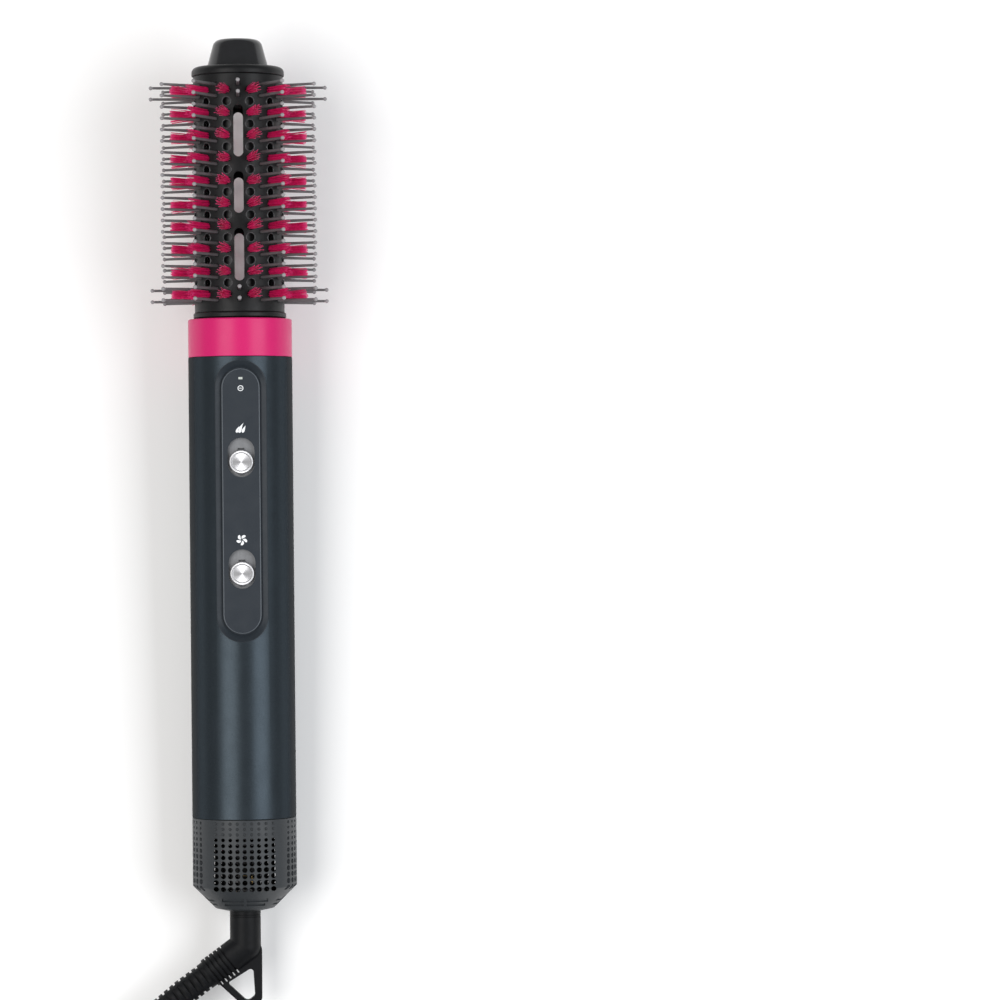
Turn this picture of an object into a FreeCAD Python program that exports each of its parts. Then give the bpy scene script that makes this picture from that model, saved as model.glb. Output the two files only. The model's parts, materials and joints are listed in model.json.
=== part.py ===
"""Hot air brush: a round brush head on a handle with a fan, a heater and a swivel cord.

Lengths are in millimetres and angles in degrees. The tool is drawn along its own axis:
+Y runs from the inlet end to the tip, +Z points out of the control panel, and the
handle's lower face is at y = 0. A place along that axis is called a station here, and an
azimuth is measured round it from +Z towards +X. lay_down then tilts the whole tool, so
that it lies on the floor at z = 0, on its brush pins and the rim of its inlet cap.
"""
import FreeCAD, Part
import math
import os

V = FreeCAD.Vector
AXIS = V(0, 1, 0)
UP = V(0, 0, 1)
BIG = 400.0

# --- Driving dimensions -----------------------------------------------------------------

# Handle tube
handle_radius = 21.0
handle_wall = 1.6
handle_length = 185.8
press_gap = 0.05         # round a piece that is pressed into its neighbour
running_gap = 0.05       # between a turning piece and its bearing
moving_gap = 0.3         # between pieces that pass each other

# Inlet cap
cap_length = 37.6
cap_wall = 1.6
cap_slope_length = 9.1   # of the 45 degree slope, along the axis
cap_slope_start = 1.0
cap_rim_round = 0.8
cap_spigot_length = 6.0
cap_spigot_wall = 1.45

# Air holes, in four fields of columns and rows
hole_columns = 9
hole_column_pitch = 2.87
hole_rows = 12
blind_rows = 3
hole_top_margin = 1.45
hole_row_growth = 0.12   # how much the rows spread towards the lower end
hole_small_radius = 0.72
hole_large_radius = 1.05
dimple_radius = 0.6
dimple_depth = 0.45
slope_groove_depth = 0.5
slope_groove_inner = 0.6 # from the middle of each side
slope_groove_rows = ((4.3, 1.6, 9.2), (2.6, 1.1, 8.0))   # start, length and outer reach

# Lint screen
screen_gap = 0.4         # above the cap's spigot
screen_thickness = 0.8
screen_hole = 2.1
screen_pitch = 3.0
cage_wall = 0.5
cage_clearance = 0.2     # inside the cap's spigot
cage_slots = 32
cage_slot_width = 1.5

# Swivel elbow, loop and strain relief
neck_radius = 6.25
neck_hole_gap = 0.4
neck_top = 10.5
neck_groove_depth = 0.75
bush_wall = 2.0
bush_top = 7.5
boss_wall = 1.75
boss_top = 8.0
clip_length = 0.9
clip_to_bush = 0.6
contact_length = 3.5
contact_radius = 0.7
contact_offsets = (2.6, -4.7)
elbow_drop = 14.8        # from the handle's lower face down to the corner
elbow_turn = 53.8
elbow_smooth = 8.1
elbow_arm = 18.0
elbow_ribs = 5
rib_groove = 0.7
loop_thickness = 3.6
relief_radius = 5.55
relief_end_radius = 4.5
relief_length = 30.0
relief_slot_pitch = 2.8
relief_slot_width = 1.3
relief_core = 3.9

# Control panel, in plan
recess_width = 20.9
recess_length = 113.2
recess_to_tube_end = 1.5
panel_side_margin = 2.9  # from the recess's edge
panel_end_margin = 3.5
heat_slot_offset = 17.5  # from the middle of the recess
fan_slot_offset = -27.2
knob_radius = 4.8
knob_side_gap = 0.55     # from the knob to its slot
knob_lower_gap = 1.3
knob_upper_gap = 0.9     # at the end of its travel
slider_travel = 4.0
stem_half_width = 1.0
stem_half_length = 1.2
shutter_half_width = 1.9 # the plate on each slider that hides its slit
shutter_half_length = 5.4
shutter_thickness = 0.3
lens_from_panel_end = 3.9
lens_width = 1.6
lens_length = 0.9

# Control panel, as depths below the top of the handle
panel_depth = 1.8
recess_depth = 3.3
track_depth = 3.7
bezel_floor_depth = 4.8
bezel_skirt_depth = 6.4
knob_depth = 0.7
knob_dish_depth = 0.25
board_depth = 11.0
carrier_depth = 13.8
board_thickness = 1.2
board_width = 26.0
board_end_margin = 10.6  # from the recess's end
component_to_screw = 14.0
carrier_thickness = 1.0
post_radius = 2.2
screw_radius = 0.9
screw_head_radius = 2.0
screw_spacing = 21.0     # across the board

# Fan and motor
impeller_blades = 7
impeller_hub_radius = 5.0
impeller_length = 9.0
impeller_above_cap = 11.4
motor_above_impeller = 11.0
duct_wall = 2.55
motor_air_passage = 4.8  # between the motor and the duct
motor_length = 30.0
motor_wall = 0.8
magnet_thickness = 1.7
armature_gap = 1.0
shaft_radius = 1.0
bearing_radius = 3.0

# Heater
sleeve_wall = 0.8
sleeve_to_tube = 2.35
sleeve_to_carrier = 0.6
guide_thickness = 4.0
guide_to_board = 0.5
lower_guide_below_recess = 2.7
upper_guide_below_top = 17.4
board_margin = 1.5       # between the crossed boards and the sleeve
heater_wire_radius = 0.35
heater_board_thickness = 0.6
heater_lead_radius = 0.5
heater_turns = 16

# Coupling between handle and head
ring_length = 15.4
ring_step = 0.05         # how far the collar stays inside the handle's surface
ring_wall = 1.95
socket_wall = 2.05
socket_lip_width = 0.7
socket_lip = 0.5
socket_depth = 10.4      # inside the handle tube
coupling_ring_length = 12.2
coupling_ring_wall = 1.08
retainer_length = 2.0
plug_wall = 2.2
plug_depth = 11.8
plug_slide_gap = 0.07
key_count = 4
key_width = 2.4
key_depth = 1.2

# Brush head
head_gap = 0.4
barrel_step = 2.9        # how much smaller the barrel's radius is than the handle's
barrel_wall = 1.2
barrel_length = 95.5
lip_step = 0.6           # how far the lips stand out of the barrel
lip_length = 2.2
end_cap_length = 3.7
tip_length = 11.3
tip_radius = 9.35
tip_base_radius = 12.4
tip_round = 3.2
brush_depth = 17.9       # from the barrel to the tops of the pins
tuft_depth = 10.4
column_spacing = 30.0
pin_rows = 20
first_pin = 4.6          # above the coupling lip
last_pin = 4.45          # below the end of the barrel
pin_root_radius = 0.65
pin_neck_radius = 0.5
pin_ball_radius = 0.8
pin_hole_gap = 0.2
strip_width = 3.0
strip_thickness = 1.4
strip_gap = 0.2          # between the strips and the barrel
tuft_root_radius = 1.6
tuft_tip_radius = 2.35
tuft_hole_gap = 0.05
vent_radius = 1.6
slot_width = 3.9
slot_rows = ((1.69, 6.31), (7.65, 11.32), (12.62, 17.19))  # counted in pin rows

# Cord
cord_radius = 3.25
coil_centre = V(-20.0, -250.0, 0.0)
coil_inner_radius = 21.8
coil_outer_radius = 48.2
coil_height = 18.6
plug_body_length = 27.0
plug_body_width = 25.0
plug_body_thickness = 16.0
plug_relief_length = 12.0
blade_length = 16.0
blade_width = 6.4
blade_thickness = 1.5
blade_spacing = 12.7

# --- Stations that follow from them -----------------------------------------------------

cap_top = cap_length
handle_top = cap_top + handle_length
ring_top = handle_top + ring_length
lip_base = ring_top + head_gap
lip_top = lip_base + lip_length
barrel_top = lip_top + barrel_length
end_cap_top = barrel_top + end_cap_length
tip_top = end_cap_top + tip_length
rim_station = cap_slope_start + cap_slope_length
recess_top = handle_top - recess_to_tube_end
recess_middle = recess_top - recess_length / 2
panel_top = recess_top - panel_end_margin
status_lens_station = panel_top - lens_from_panel_end
impeller_station = cap_top + impeller_above_cap
motor_station = impeller_station + motor_above_impeller
motor_end = motor_station + motor_length
lower_guide_station = recess_top - recess_length - lower_guide_below_recess
upper_guide_station = handle_top - upper_guide_below_top

# --- Radii and heights above the axis that follow from them -----------------------------

tube_bore = handle_radius - handle_wall
inside_radius = tube_bore - press_gap
cap_slope_radius = handle_radius - cap_slope_length
panel_face = handle_radius - panel_depth
track_top = handle_radius - track_depth
recess_floor = handle_radius - recess_depth
bezel_floor_under = handle_radius - bezel_floor_depth
bezel_skirt_under = handle_radius - bezel_skirt_depth
knob_top = handle_radius - knob_depth
board_under = handle_radius - board_depth
board_top = board_under + board_thickness
stem_under = board_top + 1.4
carrier_under = handle_radius - carrier_depth
duct_radius = inside_radius - duct_wall
motor_radius = duct_radius - motor_air_passage
sleeve_top = carrier_under - sleeve_to_carrier
sleeve_radius = (inside_radius - sleeve_to_tube + sleeve_top) / 2
sleeve_offset = sleeve_top - sleeve_radius    # the sleeve lies clear of the controls
wire_board_half = sleeve_radius - sleeve_wall - board_margin
ring_radius = handle_radius - ring_step
socket_bore = inside_radius - socket_wall
socket_lip_bore = socket_bore - socket_lip_width
plug_radius = socket_bore - running_gap - coupling_ring_wall - plug_slide_gap
barrel_radius = handle_radius - barrel_step
barrel_bore = barrel_radius - barrel_wall
lip_radius = barrel_radius + lip_step
strip_outer = barrel_bore - strip_gap
strip_inner = strip_outer - strip_thickness
brush_radius = barrel_radius + brush_depth
tuft_radius = barrel_radius + tuft_depth
ball_centre_radius = brush_radius - pin_ball_radius
slider_slot_width = 2 * (knob_radius + knob_side_gap)
slider_slot_length = 2 * knob_radius + slider_travel + knob_lower_gap + knob_upper_gap
panel_width = recess_width - 2 * panel_side_margin
panel_length = recess_length - 2 * panel_end_margin
pin_pitch = (barrel_length - first_pin - last_pin) / (pin_rows - 1)
pin_stations = [lip_top + first_pin + pin_pitch * row for row in range(pin_rows)]
slot_centres = {"heat": recess_middle + heat_slot_offset, "fan": recess_middle + fan_slot_offset}
knob_stations = {name: centre - slider_slot_length / 2 + knob_lower_gap + knob_radius
                 for name, centre in slot_centres.items()}


# --- Shape helpers ----------------------------------------------------------------------

def rounded_edges(points, radii, closed):
    """Straight edges through points, joined by tangent arcs; radius 0 keeps a corner."""
    count = len(points)
    corners = []
    for index, point in enumerate(points):
        radius = radii[index]
        at_end = not closed and index in (0, count - 1)
        if radius == 0 or at_end:
            corners.append((point, None, point))
            continue
        back = (points[index - 1] - point).normalize()
        ahead = (points[(index + 1) % count] - point).normalize()
        half_turn = (math.pi - back.getAngle(ahead)) / 2
        reach = radius * math.tan(half_turn)
        inward = (back + ahead).normalize()
        middle = point + inward * (radius / math.cos(half_turn) - radius)
        corners.append((point + back * reach, middle, point + ahead * reach))
    edges = []
    for index, (start, middle, end) in enumerate(corners):
        if middle is not None:
            edges.append(Part.Arc(start, middle, end).toShape())
        if closed or index < count - 1:
            following = corners[(index + 1) % count][0]
            if end.distanceToPoint(following) > 1e-6:
                edges.append(Part.LineSegment(end, following).toShape())
    return edges


def outline_face(points, radii):
    """A flat face inside a closed outline."""
    return Part.Face(Part.Wire(rounded_edges(points, radii, True)))


def turned(corners):
    """A solid of revolution about the tool axis, from (station, radius[, rounding])."""
    points = [V(corner[1], corner[0], 0) for corner in corners]
    radii = [corner[2] if len(corner) > 2 else 0 for corner in corners]
    return outline_face(points, radii).revolve(V(0, 0, 0), AXIS, 360)


def ring(start, end, inner, outer):
    """A plain ring round the tool axis."""
    return turned([(start, inner), (start, outer), (end, outer), (end, inner)])


def disc(start, end, radius):
    """A plain disc on the tool axis."""
    return Part.makeCylinder(radius, end - start, V(0, start, 0), AXIS)


def outward(azimuth):
    """The unit direction away from the axis at an azimuth."""
    angle = math.radians(azimuth)
    return V(math.sin(angle), 0, math.cos(angle))


def spoke(azimuth, station, inner, outer, radius):
    """A round bar that points away from the axis."""
    way = outward(azimuth)
    return Part.makeCylinder(radius, outer - inner, V(0, station, 0) + way * inner, way)


def turned_to(shape, azimuth):
    """A copy of a shape, turned about the tool axis."""
    return shape.rotated(V(0, 0, 0), AXIS, azimuth)


def box(x_range, station_range, z_range):
    """A box between the given limits."""
    corner = V(x_range[0], station_range[0], z_range[0])
    size = V(x_range[1], station_range[1], z_range[1]) - corner
    return Part.makeBox(size.x, size.y, size.z, corner)


def stadium_wire(width, start, end, height):
    """A slot-shaped outline along the tool axis, at a height above it."""
    half = width / 2
    points = [V(-half, start, height), V(half, start, height),
              V(half, end, height), V(-half, end, height)]
    return Part.Wire(rounded_edges(points, [half] * 4, True))


def stadium(width, start, end, low, high):
    """A slot-shaped block along the tool axis."""
    return Part.Face(stadium_wire(width, start, end, low)).extrude(UP * (high - low))


def joined(shapes):
    """One solid from shapes that touch or overlap."""
    return shapes[0].multiFuse(shapes[1:]).removeSplitter()


def aimed(shape, base, direction):
    """Move a shape drawn along +Z to a base point, with +Z along a direction."""
    moved = shape.copy()
    moved.Placement = FreeCAD.Placement(base, FreeCAD.Rotation(UP, direction))
    return moved


# --- Cord side: swivel elbow, strain relief and what is inside the cap --------------------

elbow_corner = V(0, -elbow_drop, 0)
arm_way = V(-math.sin(math.radians(elbow_turn)), -math.cos(math.radians(elbow_turn)), 0)
arm_end = elbow_corner + arm_way * elbow_arm
relief_end = arm_end + arm_way * relief_length
bush_radius = neck_radius + running_gap + bush_wall
boss_radius = bush_radius + press_gap + boss_wall
neck_groove_radius = neck_radius - neck_groove_depth


def loop_plate():
    """The flat web beyond the elbow, with the hole that a hook goes through."""
    outer = [V(4.0, -8.0, 0), V(6.7, -16.0, 0), V(6.6, -36.9, 0), V(2.0, -39.6, 0),
             V(-1.6, -38.4, 0), V(-11.2, -29.4, 0), V(-9.0, -22.0, 0), V(0, -12.0, 0)]
    hole = [V(3.0, -23.0, 0), V(-7.4, -29.4, 0), V(0.7, -37.0, 0), V(3.7, -34.6, 0)]
    plate = outline_face(outer, [0, 4.0, 3.0, 3.0, 3.0, 0, 0, 0])
    opening = outline_face(hole, [1.2, 1.0, 2.0, 1.5])
    half = UP * (loop_thickness / 2)
    solid = plate.cut(opening).extrude(UP * loop_thickness).translated(half * -1)
    return solid.makeFillet(0.7, [edge for edge in solid.Edges if edge.Length > 9.0
                                  and abs(edge.BoundBox.ZLength) < 0.01])


def swivel_elbow():
    """Neck, corner and ribbed arm in one moulding, with the hanging loop."""
    neck = turned([(-elbow_drop, 0), (-elbow_drop, neck_radius), (neck_top, neck_radius, 0.4),
                   (neck_top, 0)])
    neck_groove = ring(bush_top + 0.2, bush_top + 0.4 + clip_length, neck_groove_radius, BIG)
    corner = Part.makeSphere(neck_radius, elbow_corner)
    arm = Part.makeCylinder(neck_radius, elbow_arm, elbow_corner, arm_way)
    elbow = joined([neck, corner, arm, loop_plate()]).cut(neck_groove)
    for start in (-1.9, -2.7):
        elbow = elbow.cut(ring(start, start + 0.35, neck_radius - 0.35, BIG))
    pitch = (elbow_arm - elbow_smooth) / elbow_ribs
    for rib in range(elbow_ribs):
        base = elbow_corner + arm_way * (elbow_smooth + pitch * rib)
        washer = Part.makeCylinder(neck_radius + 1, rib_groove, base, arm_way)
        washer = washer.cut(Part.makeCylinder(neck_radius - 0.85, rib_groove, base, arm_way))
        elbow = elbow.cut(washer)
    return elbow


def strain_relief():
    """A tapered rubber sleeve with four staggered rows of slots."""
    straight = relief_length * 0.45
    body = joined([Part.makeCylinder(relief_radius, straight),
                   Part.makeCone(relief_radius, relief_end_radius,
                                 relief_length - straight, V(0, 0, straight))])
    rows = int((relief_length - 4.0) / relief_slot_pitch)
    slots = []
    for quarter in range(4):
        shift = relief_slot_pitch / 2 * (quarter % 2)
        for row in range(rows):
            slot = Part.makeBox(BIG, 6.6, relief_slot_width,
                                V(relief_core, -3.3, 1.2 + shift + relief_slot_pitch * row))
            slots.append(slot.rotated(V(0, 0, 0), UP, 45 + 90 * quarter))
    return aimed(body.cut(slots), arm_end, arm_way)


def swivel_clip():
    """The ring that keeps the neck in its bush."""
    start = bush_top + moving_gap
    return ring(start, start + clip_length, neck_groove_radius + press_gap,
                bush_radius - clip_to_bush)


def contact_pins():
    """Two brass pins that carry the mains from the neck to the slip rings."""
    pins = [Part.makeCylinder(contact_radius, contact_length, V(offset, neck_top, 0), AXIS)
            for offset in contact_offsets]
    return Part.makeCompound(pins)


def slip_rings():
    """Two brass rings that the contact pins run on."""
    start = neck_top + contact_length + running_gap
    return Part.makeCompound([ring(start, start + 0.6, abs(offset) - 0.9, abs(offset) + 0.9)
                              for offset in contact_offsets])


def slip_ring_holder():
    """The disc that carries the slip rings, on three posts above the bush."""
    start = neck_top + contact_length + running_gap + 0.6
    plate = disc(start, start + 3.0, boss_radius)
    reach = (bush_radius + boss_radius) / 2
    posts = [Part.makeCylinder(0.8, start - boss_top, V(0, boss_top, 0) + outward(way) * reach,
                               AXIS)
             for way in (60, 180, 300)]
    return joined([plate] + posts)


def swivel_bush():
    """The plastic bearing that the neck turns in."""
    return ring(cap_wall + press_gap, bush_top, neck_radius + running_gap, bush_radius)


# --- Inlet cap ---------------------------------------------------------------------------

def hole_row_station(row):
    """Rows spread a little towards the lower end of the cap."""
    share = row / (hole_rows - 1)
    share += hole_row_growth * share * (share - 1)
    top = cap_top - hole_top_margin
    bottom = rim_station - 0.2
    return top + (bottom - top) * share


def air_holes():
    """Straight holes through both walls, and blind dimples, seen from the front."""
    columns = [(column - (hole_columns - 1) / 2) * hole_column_pitch
               for column in range(hole_columns)]
    tools = []
    for row in range(hole_rows):
        station = hole_row_station(row)
        share = (row - blind_rows) / (hole_rows - 1 - blind_rows)
        radius = hole_small_radius + (hole_large_radius - hole_small_radius) * min(1, 1.6 * share)
        for x in columns:
            if row >= blind_rows:
                tools.append(Part.makeCylinder(radius, 2 * handle_radius,
                                               V(x, station, -handle_radius), UP))
                continue
            surface = math.sqrt(handle_radius ** 2 - x ** 2)
            for side in (1, -1):
                base = V(x, station, side * (surface - dimple_depth))
                tools.append(Part.makeCylinder(dimple_radius, 5, base, UP * side))
    return tools


def slope_grooves():
    """Four short grooves across the slope of the cap, seen from the front."""
    tools = []
    for start, length, reach in slope_groove_rows:
        end = start + length
        radius = cap_slope_radius - cap_slope_start
        groove = turned([(start, start + radius - slope_groove_depth), (start, start + radius + 1),
                         (end, end + radius + 1), (end, end + radius - slope_groove_depth)])
        for side in (1, -1):
            limits = sorted((side * slope_groove_inner, side * reach))
            tools.append(groove.common(box(limits, (0, cap_top), (0, BIG))))
    return tools


def inlet_cap():
    """The perforated end cap with its 45 degree slope, bush boss and spigot."""
    hole = neck_radius + neck_hole_gap
    bore = handle_radius - cap_wall
    slope_bore = cap_slope_radius - cap_slope_start - cap_wall * math.sqrt(2)
    spigot_bore = inside_radius - cap_spigot_wall
    shell = turned([
        (0, hole), (0, cap_slope_radius - 4.2), (cap_slope_start, cap_slope_radius, 0.6),
        (rim_station, handle_radius, cap_rim_round), (cap_top, handle_radius, 0.2),
        (cap_top, inside_radius), (cap_top + cap_spigot_length, inside_radius),
        (cap_top + cap_spigot_length, spigot_bore), (cap_top - 2.1, spigot_bore),
        (cap_top - 3.6, bore), (bore - slope_bore, bore),
        (cap_wall, cap_wall + slope_bore), (cap_wall, boss_radius), (boss_top, boss_radius),
        (boss_top, bush_radius + press_gap), (cap_wall, bush_radius + press_gap),
        (cap_wall, hole)])
    front = air_holes()
    side = [turned_to(tool, 90) for tool in front]
    grooves = slope_grooves()
    turned_grooves = [turned_to(tool, 90 * quarter) for tool in grooves for quarter in range(4)]
    return shell.cut(front + side + turned_grooves)


def lint_screen():
    """A disc of small square holes above the cap, on a slotted cage behind the air holes."""
    start = cap_top + cap_spigot_length + screen_gap
    end = start + screen_thickness
    cage_radius = inside_radius - cap_spigot_wall - cage_clearance
    cage = ring(rim_station, start, cage_radius - cage_wall, cage_radius)
    slot = box((-cage_slot_width / 2, cage_slot_width / 2),
               (rim_station + 1.5, cap_top - hole_top_margin), (cage_radius - 2, cage_radius + 1))
    slots = [turned_to(slot, 360 / cage_slots * column) for column in range(cage_slots)]
    reach = int(inside_radius / screen_pitch)
    half = screen_hole / 2
    holes = []
    for column in range(-reach, reach + 1):
        for row in range(-reach, reach + 1):
            x = column * screen_pitch
            z = row * screen_pitch
            if math.hypot(x, z) < inside_radius - 2.5:
                holes.append(box((x - half, x + half), (start, end), (z - half, z + half)))
    return joined([disc(start, end, inside_radius), cage]).cut(slots + holes)


# --- Handle tube and controls --------------------------------------------------------------

def handle_tube():
    """The painted tube, with the window that the bezel fills."""
    tube = turned([(cap_top + 0.1, tube_bore), (cap_top + 0.1, handle_radius, 0.25),
                   (handle_top, handle_radius, 0.25), (handle_top, tube_bore)])
    window = stadium(recess_width, recess_middle - recess_length / 2,
                     recess_middle + recess_length / 2, 0, BIG)
    return tube.cut(window)


def recess_scoop():
    """The air above the bezel: nearly flat beside the panel, steep at its two ends."""
    base_half = panel_width / 2 + 0.4
    base_reach = panel_length / 2 + 0.5
    rise = handle_radius + 0.5 - recess_floor
    flare = 12.0
    reach = 3.2
    low = stadium_wire(2 * base_half, recess_middle - base_reach, recess_middle + base_reach,
                       recess_floor)
    high = stadium_wire(2 * (base_half + flare), recess_middle - base_reach - reach,
                        recess_middle + base_reach + reach, recess_floor + rise)
    return Part.makeLoft([low, high], True, True)


def control_bezel():
    """The sunk surround of the control panel, clipped behind the tube's window."""
    half = recess_length / 2 - press_gap
    body = stadium(recess_width - 2 * press_gap, recess_middle - half, recess_middle + half,
                   bezel_skirt_under, BIG)
    body = body.common(disc(cap_top, handle_top, handle_radius - 0.05))
    flange_reach = 1.2
    flange = stadium(recess_width + 2 * flange_reach, recess_middle - half - flange_reach,
                     recess_middle + half + flange_reach, bezel_skirt_under, BIG)
    flange = flange.common(disc(cap_top, handle_top, inside_radius))
    under = stadium(panel_width + 2.0, recess_middle - panel_length / 2,
                    recess_middle + panel_length / 2, 0, bezel_floor_under)
    bezel = joined([body, flange]).cut([recess_scoop(), under])
    for centre in slot_centres.values():
        reach = slider_slot_length / 2 + 1.2
        bezel = bezel.cut(stadium(slider_slot_width + 2.4, centre - reach, centre + reach, 0, BIG))
    return bezel


def control_panel():
    """The face plate with its two slider slots and the hole for the light."""
    half = panel_length / 2
    plate = stadium(panel_width, recess_middle - half, recess_middle + half,
                    recess_floor, panel_face)
    top_edges = [edge for edge in plate.Edges if edge.BoundBox.ZMin > panel_face - 0.01]
    plate = plate.makeChamfer(0.35, top_edges)
    for centre in slot_centres.values():
        reach = slider_slot_length / 2
        plate = plate.cut(stadium(slider_slot_width, centre - reach, centre + reach, 0, BIG))
    return plate.cut(lens_block(press_gap))


def lens_block(growth):
    """The small light window's block, made larger all round by growth."""
    half_width = lens_width / 2 + growth
    half_length = lens_length / 2 + growth
    return box((-half_width, half_width),
               (status_lens_station - half_length, status_lens_station + half_length),
               (recess_floor, panel_face + 0.1))


def status_lens():
    """The clear window over the indicator light."""
    return lens_block(0)


def slide_tracks():
    """The two plates that the sliders run over, each with a slit for the stem."""
    plates = []
    for name, centre in slot_centres.items():
        reach = slider_slot_length / 2 + 1.2 - press_gap
        plate = stadium(slider_slot_width + 2.4 - 2 * press_gap, centre - reach, centre + reach,
                        bezel_floor_under, track_top)
        knob = knob_stations[name]
        plates.append(plate.cut(stem_slit(knob, 0.3)))
    return Part.makeCompound(plates)


def stem_slit(knob, gap):
    """The room that a slider's stem sweeps, with a gap all round."""
    return box((-stem_half_width - gap, stem_half_width + gap),
               (knob - stem_half_length - gap, knob + slider_travel + stem_half_length + gap),
               (stem_under - 0.4, BIG))


def slider(name):
    """A turned metal button on a stem that reaches down into its switch."""
    knob = knob_stations[name]
    under = track_top + moving_gap + shutter_thickness
    dish = knob_top - knob_dish_depth
    profile = [(under, 0), (under, knob_radius), (knob_top, knob_radius, 0.5),
               (knob_top, knob_radius - 0.9), (dish, knob_radius - 1.3), (dish, 0)]
    points = [V(radius, 0, height) for height, radius, *_ in profile]
    radii = [corner[2] if len(corner) > 2 else 0 for corner in profile]
    button = outline_face(points, radii).revolve(V(0, 0, 0), UP, 360).translated(V(0, knob, 0))
    stem = box((-stem_half_width, stem_half_width),
               (knob - stem_half_length, knob + stem_half_length), (stem_under, under + 0.5))
    shutter = stadium(2 * shutter_half_width, knob - shutter_half_length,
                      knob + shutter_half_length, under - shutter_thickness, under + 0.1)
    return joined([button, stem, shutter])


def slide_switch(name):
    """A slide switch on the board, open on top where the stem enters."""
    knob = knob_stations[name]
    middle = knob + slider_travel / 2
    body = box((-5.5, 5.5), (middle - 9, middle + 9), (board_top, bezel_floor_under - 0.4))
    return body.cut(stem_slit(knob, 0.3))


screw_reach = upper_guide_station - recess_middle - post_radius - 0.5


def board_corners():
    """Where the board's four screws go."""
    return [V(x, station, 0) for x in (-screw_spacing / 2, screw_spacing / 2)
            for station in (recess_middle - screw_reach, recess_middle + screw_reach)]


def board_carrier():
    """The floor between the air duct and the board, with four posts."""
    half_width = math.sqrt(inside_radius ** 2 - (carrier_under + carrier_thickness) ** 2) - 0.4
    start = lower_guide_station + guide_thickness
    plate = box((-half_width, half_width), (start, upper_guide_station),
                (carrier_under, carrier_under + carrier_thickness))
    posts = [Part.makeCylinder(post_radius, board_under - carrier_under,
                               corner + UP * carrier_under)
             for corner in board_corners()]
    holes = [Part.makeCylinder(screw_radius, BIG, corner + UP * (carrier_under + 0.6))
             for corner in board_corners()]
    return joined([plate] + posts).cut(holes)


def control_board():
    """The circuit board under the controls, with a few components on it."""
    half = recess_length / 2 - board_end_margin
    board = box((-board_width / 2, board_width / 2), (recess_middle - half, recess_middle + half),
                (board_under, board_top))
    holes = [Part.makeCylinder(screw_radius + 0.2, BIG, corner) for corner in board_corners()]
    board = board.cut(holes)
    pitch = screw_reach - component_to_screw
    parts = [box((x, x + 3), (start, start + 6), (board_top, board_top + 2))
             for x in (-10, 6)
             for start in (recess_middle - 6 + pitch * place for place in (-1, 0, 1))]
    return joined([board] + parts)


def board_screws():
    """Four screws that hold the board to its carrier."""
    screws = []
    for corner in board_corners():
        head = Part.makeCylinder(screw_head_radius, 1.4, corner + UP * board_top)
        shank_length = board_top - carrier_under - 1.0
        shank = Part.makeCylinder(screw_radius, shank_length,
                                  corner + UP * (board_top - shank_length))
        screws.append(joined([head, shank]))
    return Part.makeCompound(screws)


# --- Fan, motor and heater -------------------------------------------------------------------

def impeller():
    """The axial fan: a hub with twisted blades."""
    top = impeller_station + impeller_length
    hub = turned([(impeller_station, shaft_radius), (impeller_station, impeller_hub_radius - 2),
                  (impeller_station + 2, impeller_hub_radius), (top, impeller_hub_radius),
                  (top, shaft_radius)])
    blades = []
    middle = impeller_station + impeller_length / 2
    for blade in range(impeller_blades):
        sheet = box((-0.6, 0.6), (-4.2, 4.2), (impeller_hub_radius - 1, duct_radius + 2))
        sheet = sheet.rotated(V(0, 0, 0), UP, 38).translated(V(0, middle, 0))
        blades.append(turned_to(sheet, 360 / impeller_blades * blade))
    fan = joined([hub] + blades)
    return fan.common(ring(impeller_station, top, shaft_radius, duct_radius - 0.5))


def motor_shaft():
    """The shaft that carries the fan and the armature."""
    return disc(impeller_station - 1, motor_end + 1.5, shaft_radius)


def armature():
    """The wound rotor of the motor."""
    radius = motor_radius - motor_wall - magnet_thickness - armature_gap
    start = motor_station + 7
    end = motor_end - 7
    return turned([(start, shaft_radius), (start, radius, 1.5), (end, radius, 1.5),
                   (end, shaft_radius)])


def motor_mount():
    """The duct ring round the fan, with a sleeve on four ribs that holds the motor."""
    start = impeller_station - 3
    end = motor_station + 20
    duct = ring(start, end, duct_radius, inside_radius)
    sleeve_bore = motor_radius + press_gap
    sleeve_outer = sleeve_bore + 1.3
    sleeve = ring(motor_station, end, sleeve_bore, sleeve_outer)
    rib = box((-0.6, 0.6), (motor_station + 2, end - 2), (sleeve_bore + 0.5, duct_radius + 0.5))
    ribs = [turned_to(rib, 45 + 90 * quarter) for quarter in range(4)]
    return joined([duct, sleeve] + ribs)


def motor_can():
    """The motor's steel case, open inside."""
    bore = motor_radius - motor_wall
    return turned([(motor_station, bearing_radius), (motor_station, motor_radius, 0.6),
                   (motor_end, motor_radius, 0.6), (motor_end, bearing_radius),
                   (motor_end - 1, bearing_radius), (motor_end - 1, bore),
                   (motor_station + 1, bore), (motor_station + 1, bearing_radius)])


def motor_magnets():
    """Two curved magnets inside the case."""
    outer = motor_radius - motor_wall - press_gap
    tube = ring(motor_station + 5, motor_end - 5, outer - magnet_thickness, outer)
    gap = box((-2.5, 2.5), (0, BIG), (-BIG, BIG))
    return tube.cut(gap)


def motor_bearings():
    """The two bushes that the shaft turns in."""
    bore = shaft_radius + running_gap
    return Part.makeCompound([ring(motor_station - 0.4, motor_station + 1.4, bore, bearing_radius),
                              ring(motor_end - 1.4, motor_end + 0.4, bore, bearing_radius)])


def off_axis(shape):
    """Move a shape drawn on the axis down to the heater's own axis."""
    return shape.translated(UP * sleeve_offset)


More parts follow.
